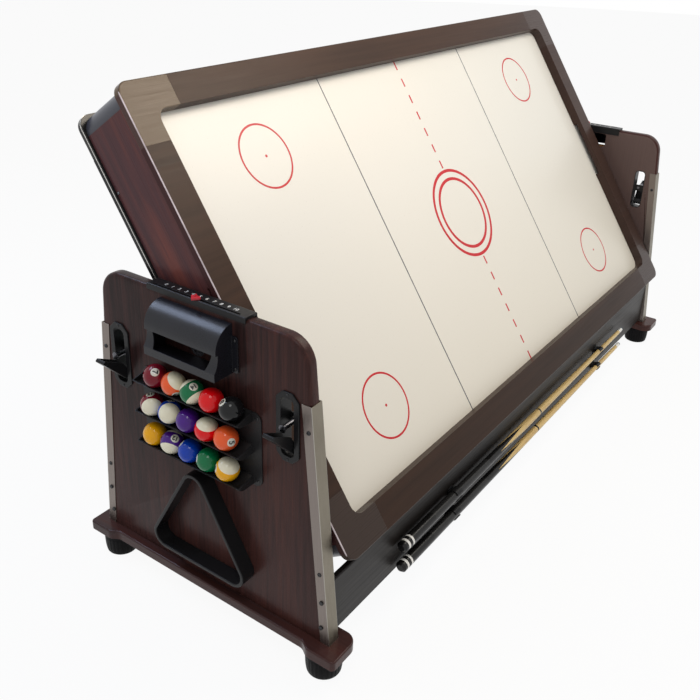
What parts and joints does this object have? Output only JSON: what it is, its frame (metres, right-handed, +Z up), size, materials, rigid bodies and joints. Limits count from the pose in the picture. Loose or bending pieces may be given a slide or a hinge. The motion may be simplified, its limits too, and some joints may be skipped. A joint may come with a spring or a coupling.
{
  "type": "multi game table",
  "caption": "Turning two-sided games table, air hockey over pool, between end panels with latches, puck boxes, ball rack, triangle and clipped cues.",
  "frame": {"origin": "on the floor under the middle of the table", "axes": "+X along the table towards the far end, +Z up, cues on the -Y side, ball rack on the -X end"},
  "size_m": [2.1896, 0.77, 1.1863],
  "materials": {
    "mahogany": "satin wood print",
    "apron_wood": "satin wood print",
    "rail_wood": "satin wood print with a moulded edge",
    "base_wood": "gloss",
    "black_board": "satin black foil",
    "hidden_board": "bare",
    "field": "gloss white with printed lines",
    "bed": "green cloth glued over board",
    "cushion": "green cloth over rubber",
    "pool_rail": "satin black with a silver edge line",
    "black_plastic": "satin moulded",
    "corner_plastic": "satin moulded",
    "post_plastic": "satin moulded",
    "foot_plastic": "satin moulded",
    "pointer_plastic": "gloss",
    "fan_plastic": "moulded",
    "channel": "brushed",
    "steel": "turned",
    "bolt": "blackened",
    "balls": "polished, numbered",
    "cue_dark": "lacquered",
    "cue_maple": "lacquered"
  },
  "bodies": {
    "stand": {"ball_rack": "black_plastic", "cue_clips": "black_plastic", "far_base_board": "base_wood", "far_end_panel": "mahogany", "far_front_edge_channel": "channel", "far_front_latch_bezel": "black_plastic", "far_puck_box": "black_plastic", "far_rear_edge_channel": "channel", "far_rear_latch_bezel": "black_plastic", "far_score_strip": "black_plastic", "front_stretcher": "black_board", "latch_hinge_pins": "steel", "lower_cue_butt": "cue_dark", "lower_cue_shaft": "cue_maple", "near_base_board": "base_wood", "near_end_panel": "mahogany", "near_front_edge_channel": "channel", "near_front_latch_bezel": "black_plastic", "near_puck_box": "black_plastic", "near_rear_edge_channel": "channel", "near_rear_latch_bezel": "black_plastic", "near_score_strip": "black_plastic", "pivot_bushes": "steel", "pool_balls": "balls", "rear_stretcher": "black_board", "stretcher_bolts": "bolt", "triangle_peg": "black_plastic", "triangle_rack": "black_plastic", "upper_cue_butt": "cue_dark", "upper_cue_shaft": "cue_maple"},
    "table": {"near_end_apron": "apron_wood", "far_end_apron": "apron_wood", "lower_side_apron": "apron_wood", "upper_side_apron": "apron_wood", "corner_posts": "post_plastic", "cross_ribs": "hidden_board", "pivot_axles": "steel", "hockey_rails": "rail_wood", "hockey_corners": "corner_plastic", "hockey_field": "field", "blower_housing": "fan_plastic", "pool_bed": "bed", "pool_rails": "pool_rail", "pool_cushions": "cushion", "pool_pockets": "black_plastic"},
    "impeller": {"blower_impeller": "fan_plastic"},
    "near_pointer": {"near_score_pointer": "pointer_plastic"},
    "near_front_lever": {"near_front_latch_lever": "black_plastic"},
    "near_front_pin": {"near_front_lock_pin": "steel"},
    "near_front_leveller": {"near_front_foot": "foot_plastic"},
    "near_rear_lever": {"near_rear_latch_lever": "black_plastic"},
    "near_rear_pin": {"near_rear_lock_pin": "steel"},
    "near_rear_leveller": {"near_rear_foot": "foot_plastic"},
    "far_pointer": {"far_score_pointer": "pointer_plastic"},
    "far_front_lever": {"far_front_latch_lever": "black_plastic"},
    "far_front_pin": {"far_front_lock_pin": "steel"},
    "far_front_leveller": {"far_front_foot": "foot_plastic"},
    "far_rear_lever": {"far_rear_latch_lever": "black_plastic"},
    "far_rear_pin": {"far_rear_lock_pin": "steel"},
    "far_rear_leveller": {"far_rear_foot": "foot_plastic"}
  },
  "joints": [
    {"name": "table_swivel", "type": "hinge", "parent": "stand", "child": "table", "pos_m": [0, 0, 0.693], "axis": [1, 0, 0], "range_deg": [-56, 124]},
    {"name": "impeller_spin", "type": "hinge", "parent": "table", "child": "impeller", "pos_m": [0, 0, 0.693], "axis": [0, -0.829, 0.5592], "continuous": true},
    {"name": "near_pointer_slide", "type": "slide", "parent": "stand", "child": "near_pointer", "axis": [0, 1, 0], "range_m": [-0.113, 0.113]},
    {"name": "near_front_lever_hinge", "type": "hinge", "parent": "stand", "child": "near_front_lever", "pos_m": [-1.026, -0.239, 0.542], "axis": [0, -1, 0], "range_deg": [-45, 0]},
    {"name": "near_front_pin_slide", "type": "slide", "parent": "stand", "child": "near_front_pin", "axis": [-1, 0, 0], "range_m": [-0.03, 0]},
    {"name": "near_front_foot_turn", "type": "hinge", "parent": "stand", "child": "near_front_leveller", "pos_m": [-1.02, -0.327, 0], "axis": [0, 0, 1], "continuous": true},
    {"name": "near_rear_lever_hinge", "type": "hinge", "parent": "stand", "child": "near_rear_lever", "pos_m": [-1.026, 0.239, 0.542], "axis": [0, -1, 0], "range_deg": [-45, 0]},
    {"name": "near_rear_pin_slide", "type": "slide", "parent": "stand", "child": "near_rear_pin", "axis": [-1, 0, 0], "range_m": [-0.03, 0]},
    {"name": "near_rear_foot_turn", "type": "hinge", "parent": "stand", "child": "near_rear_leveller", "pos_m": [-1.02, 0.327, 0], "axis": [0, 0, 1], "continuous": true},
    {"name": "far_pointer_slide", "type": "slide", "parent": "stand", "child": "far_pointer", "axis": [0, 1, 0], "range_m": [-0.113, 0.113]},
    {"name": "far_front_lever_hinge", "type": "hinge", "parent": "stand", "child": "far_front_lever", "pos_m": [1.026, -0.239, 0.542], "axis": [0, 1, 0], "range_deg": [-45, 0]},
    {"name": "far_front_pin_slide", "type": "slide", "parent": "stand", "child": "far_front_pin", "axis": [1, 0, 0], "range_m": [-0.03, 0]},
    {"name": "far_front_foot_turn", "type": "hinge", "parent": "stand", "child": "far_front_leveller", "pos_m": [1.02, -0.327, 0], "axis": [0, 0, 1], "continuous": true},
    {"name": "far_rear_lever_hinge", "type": "hinge", "parent": "stand", "child": "far_rear_lever", "pos_m": [1.026, 0.239, 0.542], "axis": [0, 1, 0], "range_deg": [-45, 0]},
    {"name": "far_rear_pin_slide", "type": "slide", "parent": "stand", "child": "far_rear_pin", "axis": [1, 0, 0], "range_m": [-0.03, 0]},
    {"name": "far_rear_foot_turn", "type": "hinge", "parent": "stand", "child": "far_rear_leveller", "pos_m": [1.02, 0.327, 0], "axis": [0, 0, 1], "continuous": true}
  ],
  "couplings": [
    {"joint": "near_front_pin_slide", "follows": "near_front_lever_hinge", "m_per_rad": 0.03819},
    {"joint": "near_rear_pin_slide", "follows": "near_rear_lever_hinge", "m_per_rad": 0.03819},
    {"joint": "far_front_pin_slide", "follows": "far_front_lever_hinge", "m_per_rad": 0.03819},
    {"joint": "far_rear_pin_slide", "follows": "far_rear_lever_hinge", "m_per_rad": 0.03819}
  ]
}
